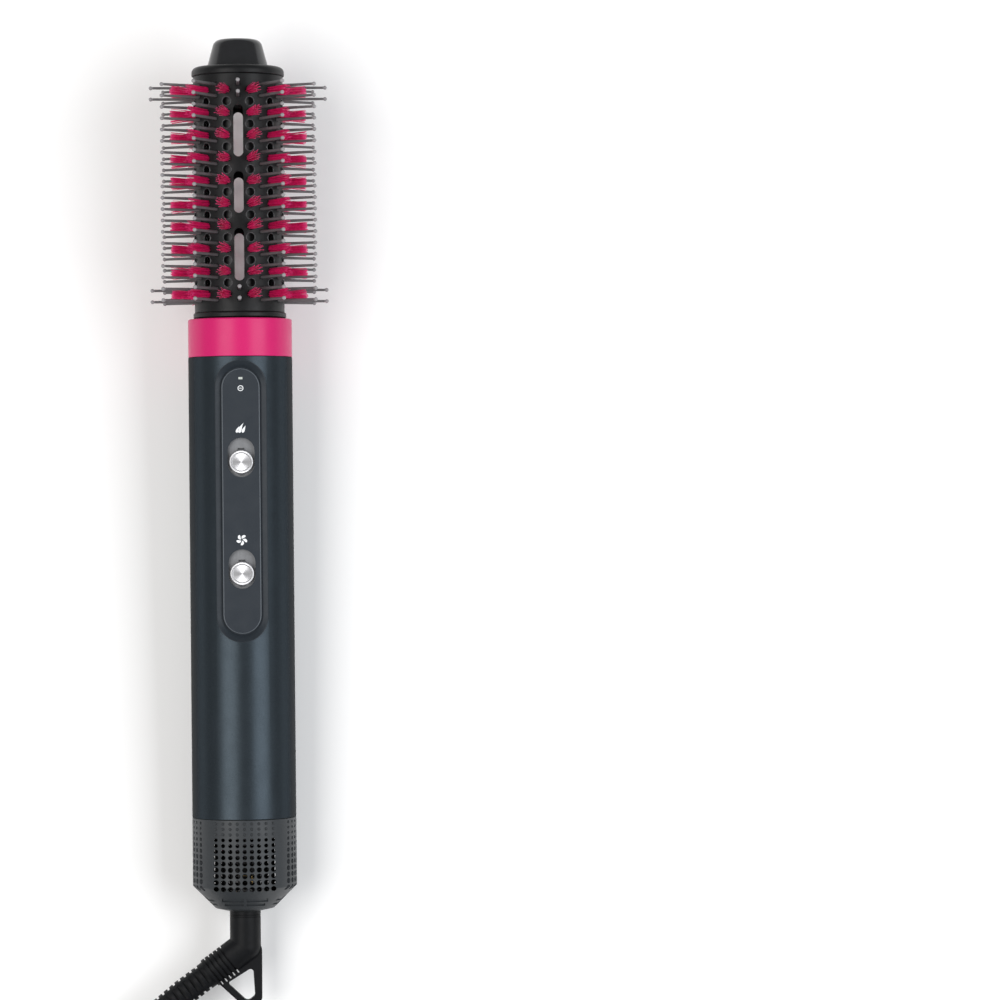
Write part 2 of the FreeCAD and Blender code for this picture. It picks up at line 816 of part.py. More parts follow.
def air_guide(station):
    """A baffle that holds one end of the heater sleeve and sends all air through it."""
    plate = disc(station, station + guide_thickness, inside_radius)
    plate = plate.cut(off_axis(disc(0, BIG, sleeve_radius + press_gap)))
    return plate.cut(box((-BIG, BIG), (0, BIG), (board_under - guide_to_board, BIG)))


def heater_sleeve():
    """The mica tube round the heater."""
    return off_axis(ring(lower_guide_station + 0.5, upper_guide_station + guide_thickness - 0.5,
                         sleeve_radius - sleeve_wall, sleeve_radius))


def heater_board():
    """Two crossed mica boards that the wire is wound on."""
    span = (lower_guide_station + 8, upper_guide_station - 12)
    wide = (-wire_board_half, wire_board_half)
    thick = (-heater_board_thickness / 2, heater_board_thickness / 2)
    upright = box(thick, span, wide)
    flat = box(wide, span, thick)
    return off_axis(joined([upright, flat]))


def heater_coil():
    """The heating wire: turns round the boards, joined by one straight length."""
    radius = math.hypot(wire_board_half, heater_board_thickness / 2) + heater_wire_radius
    start = lower_guide_station + 12
    end = upper_guide_station - 16
    pitch = (end - start) / (heater_turns - 1)
    turns = [Part.makeTorus(radius, heater_wire_radius, V(0, start + pitch * turn, 0), AXIS)
             for turn in range(heater_turns)]
    lead_place = outward(45) * radius + V(0, start, 0)
    lead = Part.makeCylinder(heater_lead_radius, end - start, lead_place, AXIS)
    return off_axis(joined(turns + [lead]))


def thermostat():
    """The cut-out above the heater."""
    station = upper_guide_station - 10
    return off_axis(turned([(station, 0), (station, 4.0, 0.5), (station + 5, 4.0, 0.5),
                            (station + 5, 0)]))


def thermal_fuse():
    """The one-shot fuse beside the thermostat."""
    fuse = Part.makeCylinder(1.6, 9, V(sleeve_radius - 4.8, upper_guide_station - 11, 0), AXIS)
    return off_axis(fuse)


def ion_generator():
    """The ion module between motor and heater, with its needle."""
    start = motor_end + 3
    floor = 5.35 - inside_radius
    module = box((-8, 8), (start, start + 10), (floor, floor + 10))
    needle = Part.makeCone(0.6, 0.15, 4, V(0, start + 10, -6), AXIS)
    return joined([module, needle])


def inner_leads():
    """The wires from the motor to the board."""
    wires = []
    start = motor_end + 1
    over_board = board_top + 1.2
    for x in (-7.0, 7.0):
        points = [V(x, start, 5), V(x, start + 8, 6), V(x, lower_guide_station, over_board),
                  V(x, lower_guide_station + 8, over_board)]
        wires.append(tube_along(points, [0, 5.0, 5.0, 0], 0.8))
    return Part.makeCompound(wires)


# --- Coupling ----------------------------------------------------------------------------------

def accent_ring():
    """The coloured collar at the top of the handle."""
    return turned([(handle_top + 0.05, ring_radius - ring_wall),
                   (handle_top + 0.05, ring_radius, 0.2), (ring_top, ring_radius, 0.7),
                   (ring_top, ring_radius - ring_wall)])


def outlet_socket():
    """The socket that the coupling ring turns in, pressed into the tube and the collar."""
    collar_radius = ring_radius - ring_wall - press_gap
    top = ring_top - 0.2
    socket = turned([(handle_top - socket_depth, socket_bore),
                     (handle_top - socket_depth, inside_radius), (handle_top, inside_radius),
                     (handle_top, collar_radius), (top, collar_radius), (top, socket_lip_bore),
                     (top - socket_lip, socket_lip_bore), (top - socket_lip, socket_bore)])
    notch = box((-BIG, BIG), (0, handle_top), (bezel_skirt_under - 0.6, BIG))
    return socket.cut(notch)


coupling_ring_top = ring_top - 0.2 - socket_lip - moving_gap
coupling_ring_base = coupling_ring_top - coupling_ring_length


def coupling_retainer():
    """The ring pressed into the socket under the coupling ring."""
    end = coupling_ring_base - moving_gap
    return ring(end - retainer_length, end, plug_radius - 0.9, socket_bore - press_gap)


def coupling_key(gap):
    """One key inside the coupling ring, made larger by gap."""
    half = key_width / 2 + gap
    inner = plug_radius - key_depth - gap
    outer = plug_radius + plug_slide_gap + 0.4
    return box((-half, half), (coupling_ring_base, coupling_ring_top), (inner, outer))


def coupling_ring():
    """The ring that locks and unlocks the head: it turns with the head's plug."""
    band = ring(coupling_ring_base, coupling_ring_top, plug_radius + plug_slide_gap,
                socket_bore - running_gap)
    keys = [turned_to(coupling_key(0), 360 / key_count * key) for key in range(key_count)]
    return joined([band] + keys)


def coupling_plug():
    """The head's lower end: a grooved plug, the lip and the spigot inside the barrel."""
    spigot = strip_inner - 0.1
    body = turned([
        (lip_base - plug_depth, plug_radius - plug_wall), (lip_base - plug_depth, plug_radius, 0.5),
        (lip_base, plug_radius), (lip_base, lip_radius, 0.4), (lip_top, lip_radius, 0.7),
        (lip_top, barrel_bore - press_gap), (lip_top + 1.8, barrel_bore - press_gap),
        (lip_top + 1.8, spigot), (lip_top + 7, spigot), (lip_top + 7, plug_radius - plug_wall)])
    groove = coupling_key(0.12)
    deeper = box((groove.BoundBox.XMin, groove.BoundBox.XMax), (0, lip_base - 0.3),
                 (groove.BoundBox.ZMin, groove.BoundBox.ZMax))
    grooves = [turned_to(deeper, 360 / key_count * key) for key in range(key_count)]
    return body.cut(grooves)


# --- Brush head ----------------------------------------------------------------------------------

pin_azimuths = [column_spacing * column for column in range(12)]
slot_azimuths = [0, 90, 180, 270]
strip_azimuths = {"front": (330, 30), "right": (60, 120), "back": (150, 210), "left": (240, 300)}
tuft_azimuths = [azimuth + column_spacing / 2 for azimuth in pin_azimuths]
end_rows = [0, 1, pin_rows - 2, pin_rows - 1]
tuft_stations = [pin_stations[2 * row] + pin_pitch / 2 for row in range(pin_rows // 2)]
vent_stations = [pin_stations[2 * row + 1] + pin_pitch / 2 for row in range(pin_rows // 2 - 1)]


def barrel():
    """The perforated tube: pin holes, tuft holes, vents and long slots."""
    tube = turned([(lip_top, barrel_bore), (lip_top, barrel_radius, 0.2),
                   (barrel_top, barrel_radius, 0.2), (barrel_top, barrel_bore)])
    inner = barrel_bore - 1.5
    outer = barrel_radius + 1.5
    tools = []
    for azimuth in pin_azimuths:
        rows = end_rows if azimuth in slot_azimuths else range(pin_rows)
        tools += [spoke(azimuth, pin_stations[row], inner, outer, pin_root_radius + pin_hole_gap)
                  for row in rows]
    for azimuth in tuft_azimuths:
        tools += [spoke(azimuth, station, inner, outer, tuft_root_radius + tuft_hole_gap)
                  for station in tuft_stations]
        tools += [spoke(azimuth, station, inner, outer, vent_radius) for station in vent_stations]
    for azimuth in slot_azimuths:
        for first_row, last_row in slot_rows:
            start = pin_stations[0] + pin_pitch * first_row
            end = pin_stations[0] + pin_pitch * last_row
            slot = stadium(slot_width, start, end, inner, outer)
            tools.append(turned_to(slot, azimuth))
    return tube.cut(Part.makeCompound(tools))


def pin(station):
    """One ball-tipped pin, pointing along +Z."""
    root = strip_outer - 0.3
    shaft = Part.makeCone(pin_root_radius, pin_neck_radius, ball_centre_radius - root,
                          V(0, station, root))
    return shaft.fuse(Part.makeSphere(pin_ball_radius, V(0, station, ball_centre_radius)))


def strip(stations):
    """A moulded strip of pins whose rib lies inside the barrel."""
    rib = box((-strip_width / 2, strip_width / 2),
              (stations[0] - 2.2, stations[-1] + 2.2), (strip_inner, strip_outer))
    return joined([rib] + [pin(station) for station in stations])


def end_pins():
    """Pairs of pins above and below the slots."""
    pairs = [strip([pin_stations[row] for row in rows]) for rows in (end_rows[:2], end_rows[2:])]
    return Part.makeCompound([turned_to(pair, azimuth)
                              for azimuth in slot_azimuths for pair in pairs])


def tuft(azimuth, station):
    """The outer shape of one bundle of bristles."""
    root = barrel_bore - 0.5
    plug = spoke(azimuth, station, root, barrel_radius + 0.3, tuft_root_radius)
    way = outward(azimuth)
    base = V(0, station, 0) + way * (barrel_radius + 0.3)
    brush = Part.makeCone(tuft_root_radius, tuft_tip_radius, tuft_radius - barrel_radius - 0.3,
                          base, way)
    return joined([plug, brush])


def tuft_group():
    """The three columns of bristle bundles in the first quarter of the barrel."""
    return Part.makeCompound([tuft(azimuth, station) for azimuth in tuft_azimuths[:3]
                              for station in tuft_stations])


def barrel_end_cap():
    """The rim at the top of the barrel, with a spigot inside it."""
    spigot = strip_inner - 0.1
    stem_hole = tip_base_radius - 4.4
    return turned([(barrel_top - 6, spigot - 1.4), (barrel_top - 6, spigot), (barrel_top, spigot),
                   (barrel_top, lip_radius, 0.4), (end_cap_top, lip_radius, 2.2),
                   (end_cap_top, stem_hole), (barrel_top + 0.6, stem_hole),
                   (barrel_top + 0.6, spigot - 1.4)])


def cool_tip():
    """The tip that stays cool enough to hold."""
    stem = tip_base_radius - 4.4 - press_gap
    return turned([(end_cap_top - 2.8, 0), (end_cap_top - 2.8, stem), (end_cap_top, stem),
                   (end_cap_top, tip_base_radius, 0.3), (tip_top, tip_radius, tip_round),
                   (tip_top, 0)])


# --- Cord, coil and mains plug -------------------------------------------------------------------

def tube_along(points, radii, radius):
    """A round tube along straight runs joined by tangent arcs."""
    path = Part.Wire(rounded_edges(points, radii, False))
    start = points[0]
    way = (points[1] - start).normalize()
    section = Part.Wire(Part.makeCircle(radius, start, way))
    return path.makePipeShell([section], True, False)


def cord_tube(name, points):
    """A stretch of cord: each arc is as large as its two runs allow."""
    radii = [0.0] * len(points)
    for index in range(1, len(points) - 1):
        back = points[index - 1] - points[index]
        ahead = points[index + 1] - points[index]
        half_turn = (math.pi - back.getAngle(ahead)) / 2
        radii[index] = 0.45 * min(back.Length, ahead.Length) / math.tan(half_turn)
    tube = tube_along(points, radii, cord_radius)
    path = Part.Wire(rounded_edges(points, radii, False))
    expected = math.pi * cord_radius ** 2 * path.Length
    print(name, "radii", [round(radius, 1) for radius in radii[1:-1]],
          "length", round(path.Length, 1), "volume ratio", round(tube.Volume / expected, 4))
    return tube


def lead_points(exit_point, exit_way):
    """From the strain relief down on to the top of the coil."""
    return [exit_point, exit_point + exit_way * 16, V(-61.0, -225.5, 16.6),
            V(-63.2, -243.5, 16.2), V(-58.6, -263.4, 15.6)]


tail_start = V(-47.5, -285.3, cord_radius)
plug_entry = V(-2.0, -305.0, plug_body_thickness / 2)


def tail_points():
    """From the outside of the coil, along the floor and up into the plug."""
    return [tail_start, V(-35.0, -295.4, cord_radius), V(-19.5, -303.0, 4.2), plug_entry]


def cord_coil():
    """The outer shape of the coil that the rest of the cord is wound into."""
    middle = (coil_inner_radius + coil_outer_radius) / 2
    half = (coil_outer_radius - coil_inner_radius) / 2
    points = [V(middle - half, 0, 0), V(middle + half, 0, 0),
              V(middle + half, 0, coil_height), V(middle - half, 0, coil_height)]
    section = outline_face(points, [3.0] * 4)
    return section.revolve(V(0, 0, 0), UP, 360).translated(coil_centre)


def plug_local(shape):
    """Move a plug piece drawn along +X from the origin to where the plug lies."""
    return shape.translated(plug_entry)


def plug_body():
    """The moulded plug with its tapered relief."""
    half = plug_body_width / 2
    length = plug_relief_length + plug_body_length
    points = [V(plug_relief_length - 1, -6.0, 0), V(plug_relief_length + 8, -half, 0),
              V(length, -half, 0), V(length, half, 0),
              V(plug_relief_length + 8, half, 0), V(plug_relief_length - 1, 6.0, 0)]
    block = outline_face(points, [2.0, 6.0, 2.5, 2.5, 6.0, 2.0])
    height = plug_body_thickness
    block = block.extrude(UP * height).translated(UP * (-height / 2))
    rims = [edge for edge in block.Edges if edge.BoundBox.ZLength < 0.01]
    block = block.makeFillet(1.8, rims)
    relief = Part.makeCone(cord_radius + 0.9, 5.4, plug_relief_length, V(0, 0, 0), V(1, 0, 0))
    return plug_local(joined([block, relief]))


def plug_blades():
    """Two flat blades."""
    start = plug_relief_length + plug_body_length
    blades = []
    for side in (-1, 1):
        centre = side * blade_spacing / 2
        blade = Part.makeBox(blade_length, blade_thickness, blade_width,
                             V(start, centre - blade_thickness / 2, -blade_width / 2))
        tips = [edge for edge in blade.Edges if edge.BoundBox.XMin > start + blade_length - 0.01
                and edge.BoundBox.YLength > 1]
        blades.append(blade.makeFillet(1.5, tips))
    return plug_local(Part.makeCompound(blades))


# --- All pieces --------------------------------------------------------------------------------

tool_pieces = {
    "swivel_elbow": swivel_elbow(),
    "strain_relief": strain_relief(),
    "swivel_clip": swivel_clip(),
    "contact_pins": contact_pins(),
    "slip_rings": slip_rings(),
    "slip_ring_holder": slip_ring_holder(),
    "swivel_bush": swivel_bush(),
    "inlet_cap": inlet_cap(),
    "lint_screen": lint_screen(),
    "handle_tube": handle_tube(),
    "control_bezel": control_bezel(),
    "control_panel": control_panel(),
    "status_lens": status_lens(),
    "slide_tracks": slide_tracks(),
    "heat_slider": slider("heat"),
    "fan_slider": slider("fan"),
    "heat_switch": slide_switch("heat"),
    "fan_switch": slide_switch("fan"),
    "board_carrier": board_carrier(),
    "control_board": control_board(),
    "board_screws": board_screws(),
    "impeller": impeller(),
    "motor_shaft": motor_shaft(),
    "armature": armature(),
    "motor_mount": motor_mount(),
    "motor_can": motor_can(),
    "motor_magnets": motor_magnets(),
    "motor_bearings": motor_bearings(),
    "lower_air_guide": air_guide(lower_guide_station),
    "upper_air_guide": air_guide(upper_guide_station),
    "heater_sleeve": heater_sleeve(),
    "heater_board": heater_board(),
    "heater_coil": heater_coil(),
    "thermostat": thermostat(),
    "thermal_fuse": thermal_fuse(),
    "ion_generator": ion_generator(),
    "inner_leads": inner_leads(),
    "accent_ring": accent_ring(),
    "outlet_socket": outlet_socket(),
    "coupling_retainer": coupling_retainer(),
    "coupling_ring": coupling_ring(),
    "coupling_plug": coupling_plug(),
    "barrel": barrel(),
    "end_pins": end_pins(),
    "barrel_end_cap": barrel_end_cap(),
    "cool_tip": cool_tip(),
}
full_strip = strip(pin_stations)
for side_name, azimuths in strip_azimuths.items():
    strips = [turned_to(full_strip, azimuth) for azimuth in azimuths]
    tool_pieces["pin_strips_" + side_name] = Part.makeCompound(strips)
first_tufts = tuft_group()
for group, quarter_name in enumerate(("front_right", "back_right", "back_left", "front_left")):
    tool_pieces["tufts_" + quarter_name] = turned_to(first_tufts, 90 * group)

# The tool rests on the lowest pin's ball and on the rounded rim of the inlet cap.
rim_centre_radius = handle_radius - cap_rim_round
rim_centre_station = rim_station + cap_rim_round * math.tan(math.radians(22.5))
rest_run = pin_stations[0] - rim_centre_station
rest_rise = ball_centre_radius - rim_centre_radius
rest_span = math.hypot(rest_run, rest_rise)
rest_tilt = math.degrees(math.atan2(rest_rise, rest_run)
                         + math.asin((pin_ball_radius - cap_rim_round) / rest_span))
tilt = FreeCAD.Rotation(V(1, 0, 0), rest_tilt)
rim_low = tilt.multVec(V(0, rim_centre_station, -rim_centre_radius))
floor_lift = cap_rim_round - rim_low.z

# The origin lies under the middle of the tool, measured without the cord.
low_station = min(edge.BoundBox.YMin for edge in tool_pieces["swivel_elbow"].Edges)
front_end = tilt.multVec(V(0, tip_top - tip_round, -(tip_radius - tip_round))).y + tip_round
back_end = tilt.multVec(V(0, low_station, loop_thickness / 2)).y
rest_place = FreeCAD.Placement(V(0, -(front_end + back_end) / 2, floor_lift), tilt)


def lay_down(shape):
    """Tilt a piece of the tool to the way that it lies on the floor."""
    laid = shape.copy()
    laid.Placement = rest_place.multiply(laid.Placement)
    return laid


pieces = {name: lay_down(shape) for name, shape in tool_pieces.items()}
cord_exit = rest_place.multVec(relief_end)
cord_way = tilt.multVec(arm_way)
pieces["cord_lead"] = cord_tube("cord_lead", lead_points(cord_exit, cord_way))
pieces["cord_coil"] = cord_coil()
pieces["cord_tail"] = cord_tube("cord_tail", tail_points())
pieces["plug_body"] = plug_body()
pieces["plug_blades"] = plug_blades()

os.makedirs("parts", exist_ok=True)
for name, shape in pieces.items():
    shape.exportStep("parts/" + name + ".step")
    print("%-18s solids %3d  volume %9.1f  valid %s"
          % (name, len(shape.Solids), shape.Volume, shape.isValid()))

print("rest tilt %.5f, moved by %s" % (rest_tilt, tuple(rest_place.Base)))
print("cord leaves at", tuple(cord_exit), "along", tuple(cord_way))
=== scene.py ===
import json
import math
import random

import bpy
from mathutils import Matrix, Vector


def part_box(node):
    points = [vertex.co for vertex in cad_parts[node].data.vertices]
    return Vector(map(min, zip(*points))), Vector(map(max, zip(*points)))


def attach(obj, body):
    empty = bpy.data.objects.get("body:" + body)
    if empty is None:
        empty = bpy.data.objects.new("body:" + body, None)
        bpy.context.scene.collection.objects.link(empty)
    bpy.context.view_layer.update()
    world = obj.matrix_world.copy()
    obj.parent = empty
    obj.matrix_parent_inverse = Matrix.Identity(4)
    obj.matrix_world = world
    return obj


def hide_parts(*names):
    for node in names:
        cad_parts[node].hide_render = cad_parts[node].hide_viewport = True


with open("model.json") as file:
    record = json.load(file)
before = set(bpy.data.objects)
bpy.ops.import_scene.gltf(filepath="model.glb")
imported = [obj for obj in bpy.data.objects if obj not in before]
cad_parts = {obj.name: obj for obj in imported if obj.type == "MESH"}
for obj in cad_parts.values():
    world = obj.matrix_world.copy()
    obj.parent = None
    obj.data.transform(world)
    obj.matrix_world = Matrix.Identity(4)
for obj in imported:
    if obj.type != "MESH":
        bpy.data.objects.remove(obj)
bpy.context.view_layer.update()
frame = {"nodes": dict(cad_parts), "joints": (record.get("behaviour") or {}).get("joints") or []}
nodes = frame["nodes"]
joints = {joint["name"]: joint for joint in frame["joints"]}

MM = 0.001

# --- The tool's own axes -------------------------------------------------------------------------
# The tool lies tilted on the floor. Its "station" is the distance along its axis from the lower
# face of the handle, and its front is the side with the controls. Both are in millimetres.
tool_base = Vector(joints["cord_swivel"]["pos_m"])
tool_along = Vector(joints["cord_swivel"]["axis"]).normalized()
tool_right = Vector((1, 0, 0))
tool_front = tool_right.cross(tool_along)
tool_tilt = math.atan2(tool_along.z, tool_along.y)


def at(x, station, front):
    """The place in the frame of a point given in the tool's own axes."""
    return tool_base + MM * (tool_right * x + tool_along * station + tool_front * front)


def way(x, along, front):
    """A direction given in the tool's own axes."""
    return tool_right * x + tool_along * along + tool_front * front


# --- Camera --------------------------------------------------------------------------------------
camera_side = 0.6
camera_station = 164.8
camera_distance = 1743.0
camera_swing = math.radians(3.42)    # round the tool's axis
camera_roll = math.radians(0.52)

look = way(math.sin(camera_swing), 0, -math.cos(camera_swing))
level = way(math.cos(camera_swing), 0, math.sin(camera_swing))
up = tool_along * math.cos(camera_roll) + level * math.sin(camera_roll)
right = level * math.cos(camera_roll) - tool_along * math.sin(camera_roll)

camera_data = bpy.data.cameras.new("camera")
camera_data.lens = 154.8
camera_data.sensor_width = 36.0
camera_data.clip_start = 0.05
camera_data.clip_end = 20.0
camera = bpy.data.objects.new("camera", camera_data)
bpy.context.scene.collection.objects.link(camera)
axes = Matrix((right, up, -look)).transposed()
camera_place = at(camera_side, camera_station, camera_distance)
camera.matrix_world = Matrix.Translation(camera_place) @ axes.to_4x4()
bpy.context.scene.camera = camera


# --- Mesh and material helpers -------------------------------------------------------------------

def mesh_piece(name, points, faces, body, material):
    """A new piece made of points in the frame."""
    mesh = bpy.data.meshes.new(name)
    mesh.from_pydata([tuple(point) for point in points], [], faces)
    mesh.update()
    piece = bpy.data.objects.new(name, mesh)
    bpy.context.scene.collection.objects.link(piece)
    mesh.materials.append(material)
    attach(piece, body)
    return piece


class Look:
    """A node material, built up from its principled shader."""

    def __init__(self, name, colour, roughness, metallic=0.0):
        self.material = bpy.data.materials.new(name)
        self.material.use_nodes = True
        self.tree = self.material.node_tree
        self.shader = self.tree.nodes["Principled BSDF"]
        self.colour = colour
        self.roughness = roughness
        self.shader.inputs["Metallic"].default_value = metallic
        place = self.node("TexCoord").outputs["Object"]
        mapping = self.node("Mapping")
        mapping.vector_type = "TEXTURE"
        mapping.inputs["Location"].default_value = tool_base
        mapping.inputs["Rotation"].default_value = (tool_tilt, 0, 0)
        mapping.inputs["Scale"].default_value = (MM, MM, MM)
        self.join(place, mapping.inputs["Vector"])
        self.place = mapping.outputs["Vector"]    # millimetres in the tool's own axes
        self.height = None

    def node(self, kind):
        return self.tree.nodes.new("ShaderNode" + kind)

    def join(self, output, socket):
        self.tree.links.new(output, socket)

    def weaken_reflection(self, level, edge):
        """Weaken the reflection seen straight on, and tint the one seen along the surface."""
        self.shader.inputs["Specular IOR Level"].default_value = level
        self.shader.inputs["Specular Tint"].default_value = (edge, edge, edge, 1)
        return self

    def from_axis(self):
        """The distance from the tool's axis, in millimetres."""
        across = self.math("POWER", self.axis("X"), 2)
        out = self.math("POWER", self.axis("Z"), 2)
        return self.math("SQRT", self.math("ADD", across, out))

    def outer_colour(self, start, end, colour):
        """Fade to another colour between two distances from the tool's axis."""
        factor = self.spread(self.from_axis(), 0, 1, start, end)
        mixed = self.blend_colour(factor, self.colour_out, colour)
        self.join(mixed, self.shader.inputs["Base Color"])
        return self

    def noise(self, size, detail=2.0, stretch=(1, 1, 1)):
        """Noise from 0 to 1 whose features are about size millimetres."""
        scale = self.node("Mapping")
        scale.inputs["Scale"].default_value = [1 / (size * s) for s in stretch]
        self.join(self.place, scale.inputs["Vector"])
        texture = self.node("TexNoise")
        texture.inputs["Scale"].default_value = 1.0
        texture.inputs["Detail"].default_value = detail
        self.join(scale.outputs["Vector"], texture.inputs["Vector"])
        return texture.outputs["Fac"]

    def spread(self, value, low, high, start=0.3, end=0.7):
        """value from start to end becomes low to high."""
        node = self.node("MapRange")
        node.inputs["From Min"].default_value = start
        node.inputs["From Max"].default_value = end
        node.inputs["To Min"].default_value = low
        node.inputs["To Max"].default_value = high
        self.join(value, node.inputs["Value"])
        return node.outputs["Result"]

    def math(self, operation, first, second=None):
        """One arithmetic step on one or two values, each a number or another node's output."""
        node = self.node("Math")
        node.operation = operation
        for socket, value in zip(node.inputs, (first, second)):
            if value is None:
                continue
            if isinstance(value, (int, float)):
                socket.default_value = value
            else:
                self.join(value, socket)
        return node.outputs[0]

    def axis(self, name):
        node = self.node("SeparateXYZ")
        self.join(self.place, node.inputs[0])
        return node.outputs[name]

    def blend_colour(self, factor, first, second):
        """first where factor is 0, second where it is 1."""
        node = self.node("Mix")
        node.data_type = "RGBA"
        self.join(factor, node.inputs["Factor"])
        for socket, value in ((node.inputs[6], first), (node.inputs[7], second)):
            if isinstance(value, tuple):
                socket.default_value = (*value, 1)
            else:
                self.join(value, socket)
        return node.outputs[2]

    def mottle(self, size, amount, detail=3.0):
        """Colour a little darker and lighter in patches of about size millimetres."""
        dark = tuple(c * (1 - amount) for c in self.colour)
        light = tuple(min(1.0, c * (1 + amount)) for c in self.colour)
        factor = self.spread(self.noise(size, detail), 0, 1)
        colour = self.blend_colour(factor, dark, light)
        self.join(colour, self.shader.inputs["Base Color"])
        self.colour_out = colour
        return self

    def uneven_gloss(self, size, amount, stretch=(1, 1, 1)):
        value = self.spread(self.noise(size, 4.0, stretch), self.roughness - amount,
                            self.roughness + amount)
        self.join(value, self.shader.inputs["Roughness"])
        return self

    def relief(self, value, depth):
        """A bump that many millimetres deep, on top of the ones before."""
        bump = self.node("Bump")
        bump.inputs["Strength"].default_value = 1.0
        bump.inputs["Distance"].default_value = depth * MM
        self.join(value, bump.inputs["Height"])
        if self.height is not None:
            self.join(self.height, bump.inputs["Normal"])
        self.height = bump.outputs["Normal"]
        self.join(self.height, self.shader.inputs["Normal"])
        return self

    def soft_edges(self, radius):
        """Edges that catch the light as if rounded to this radius in millimetres."""
        node = self.node("Bevel")
        node.samples = 4
        node.inputs["Radius"].default_value = radius * MM
        self.height = node.outputs["Normal"]
        self.join(self.height, self.shader.inputs["Normal"])
        return self

    def give(self, *names):
        """Use this material on these CAD nodes."""
        for name in names:
            mesh = nodes[name].data
            mesh.materials.clear()
            mesh.materials.append(self.material)
        return self


# --- Materials -----------------------------------------------------------------------------------

paint = Look("handle_paint", (0.033, 0.042, 0.050), 0.34, metallic=0.7)
paint.weaken_reflection(0.3, 0.06)
paint.mottle(0.35, 0.16)
paint.uneven_gloss(9.0, 0.03)
paint.relief(paint.noise(0.22, 1.0), 0.006)
paint.give("handle_tube")

cap = Look("cap_plastic", (0.030, 0.034, 0.038), 0.44)
cap.weaken_reflection(0.4, 0.7)
cap.mottle(0.6, 0.10)
cap.uneven_gloss(6.0, 0.04)
cap.soft_edges(0.18)
cap.relief(cap.noise(0.25, 2.0), 0.008)
cap.give("inlet_cap")

black = Look("black_plastic", (0.007, 0.0073, 0.008), 0.42)
black.weaken_reflection(0.3, 0.6)
black.mottle(1.2, 0.15)
black.uneven_gloss(4.0, 0.05)
black.soft_edges(0.22)
black.relief(black.noise(0.3, 2.0), 0.008)
black.give("barrel", "barrel_end_cap", "coupling_plug", "coupling_ring", "coupling_retainer",
           "outlet_socket", "lint_screen")

tip = Look("tip_plastic", (0.010, 0.0105, 0.012), 0.19)
tip.mottle(2.0, 0.12)
tip.uneven_gloss(5.0, 0.03)
tip.relief(tip.noise(0.6, 2.0), 0.003)
tip.give("cool_tip")

panel = Look("panel_plastic", (0.020, 0.026, 0.034), 0.36)
panel.weaken_reflection(0.4, 0.8)
panel.mottle(0.4, 0.14)
panel.uneven_gloss(6.0, 0.04)
panel.relief(panel.noise(0.2, 1.0), 0.004)
panel.give("control_panel")

bezel = Look("bezel_plastic", (0.024, 0.030, 0.037), 0.42)
bezel.weaken_reflection(0.3, 0.5)
bezel.mottle(0.5, 0.12)
bezel.uneven_gloss(6.0, 0.04)
bezel.relief(bezel.noise(0.25, 1.0), 0.005)
bezel.give("control_bezel")

pink = Look("accent_pink", (0.56, 0.014, 0.13), 0.32)
pink.weaken_reflection(0.3, 0.7)
pink.mottle(0.5, 0.03)
pink.uneven_gloss(6.0, 0.04)
pink.relief(pink.noise(0.3, 2.0), 0.005)
pink.give("accent_ring")

silver = Look("track_silver", (0.20, 0.205, 0.215), 0.42, metallic=0.5)
silver.mottle(0.8, 0.05)
silver.uneven_gloss(0.5, 0.06, stretch=(1, 30, 1))
silver.relief(silver.noise(0.12, 1.0, stretch=(1, 40, 1)), 0.004)
silver.give("slide_tracks")

nylon = Look("nylon_grey", (0.105, 0.100, 0.105), 0.38)
nylon.mottle(1.0, 0.10)
# The ball tips are coloured lighter grey than the shafts: partly their own lighter tone, partly a
# painted highlight.
nylon.outer_colour(34.2, 34.6, (0.26, 0.25, 0.26))
nylon.uneven_gloss(3.0, 0.05)
nylon.give("pin_strips_front", "pin_strips_right", "pin_strips_back", "pin_strips_left",
           "end_pins")

rubber = Look("black_rubber", (0.004, 0.0045, 0.0055), 0.50)
rubber.weaken_reflection(0.2, 0.7)
rubber.mottle(1.5, 0.18)
rubber.uneven_gloss(4.0, 0.06)
rubber.soft_edges(0.2)
rubber.relief(rubber.noise(0.35, 2.0), 0.015)
rubber.give("swivel_elbow", "strain_relief", "plug_body")

cord_rubber = Look("cord_rubber", (0.009, 0.009, 0.010), 0.50)
cord_rubber.mottle(2.0, 0.15)
cord_rubber.uneven_gloss(5.0, 0.06)
cord_rubber.relief(cord_rubber.noise(0.5, 2.0), 0.02)

brass = Look("brass", (0.72, 0.50, 0.20), 0.30, metallic=1.0)
steel = Look("steel", (0.56, 0.56, 0.57), 0.30, metallic=1.0)
blades = Look("plug_metal", (0.66, 0.64, 0.60), 0.26, metallic=1.0)
magnet = Look("magnet", (0.06, 0.06, 0.065), 0.60)
winding = Look("winding", (0.45, 0.16, 0.06), 0.35, metallic=0.8)
mica = Look("mica", (0.50, 0.42, 0.30), 0.45)
board = Look("board_green", (0.015, 0.09, 0.03), 0.40)
white = Look("white_plastic", (0.62, 0.62, 0.60), 0.40)
dark = Look("inside_plastic", (0.012, 0.0125, 0.0135), 0.50)
inner = {
    brass: ("contact_pins", "slip_rings"),
    steel: ("swivel_clip", "motor_shaft", "motor_can", "board_screws", "thermostat",
            "motor_bearings"),
    blades: ("plug_blades",),
    magnet: ("motor_magnets",),
    winding: ("armature", "heater_coil"),
    mica: ("heater_board", "heater_sleeve"),
    board: ("control_board",),
    white: ("board_carrier", "lower_air_guide", "upper_air_guide", "heat_switch", "fan_switch",
            "ion_generator", "thermal_fuse", "inner_leads"),
    dark: ("slip_ring_holder", "swivel_bush", "impeller", "motor_mount"),
}
for look_inside, names in inner.items():
    look_inside.mottle(1.5, 0.10)
    look_inside.uneven_gloss(2.0, 0.06)
    look_inside.relief(look_inside.noise(0.3, 2.0), 0.006)
    look_inside.give(*names)

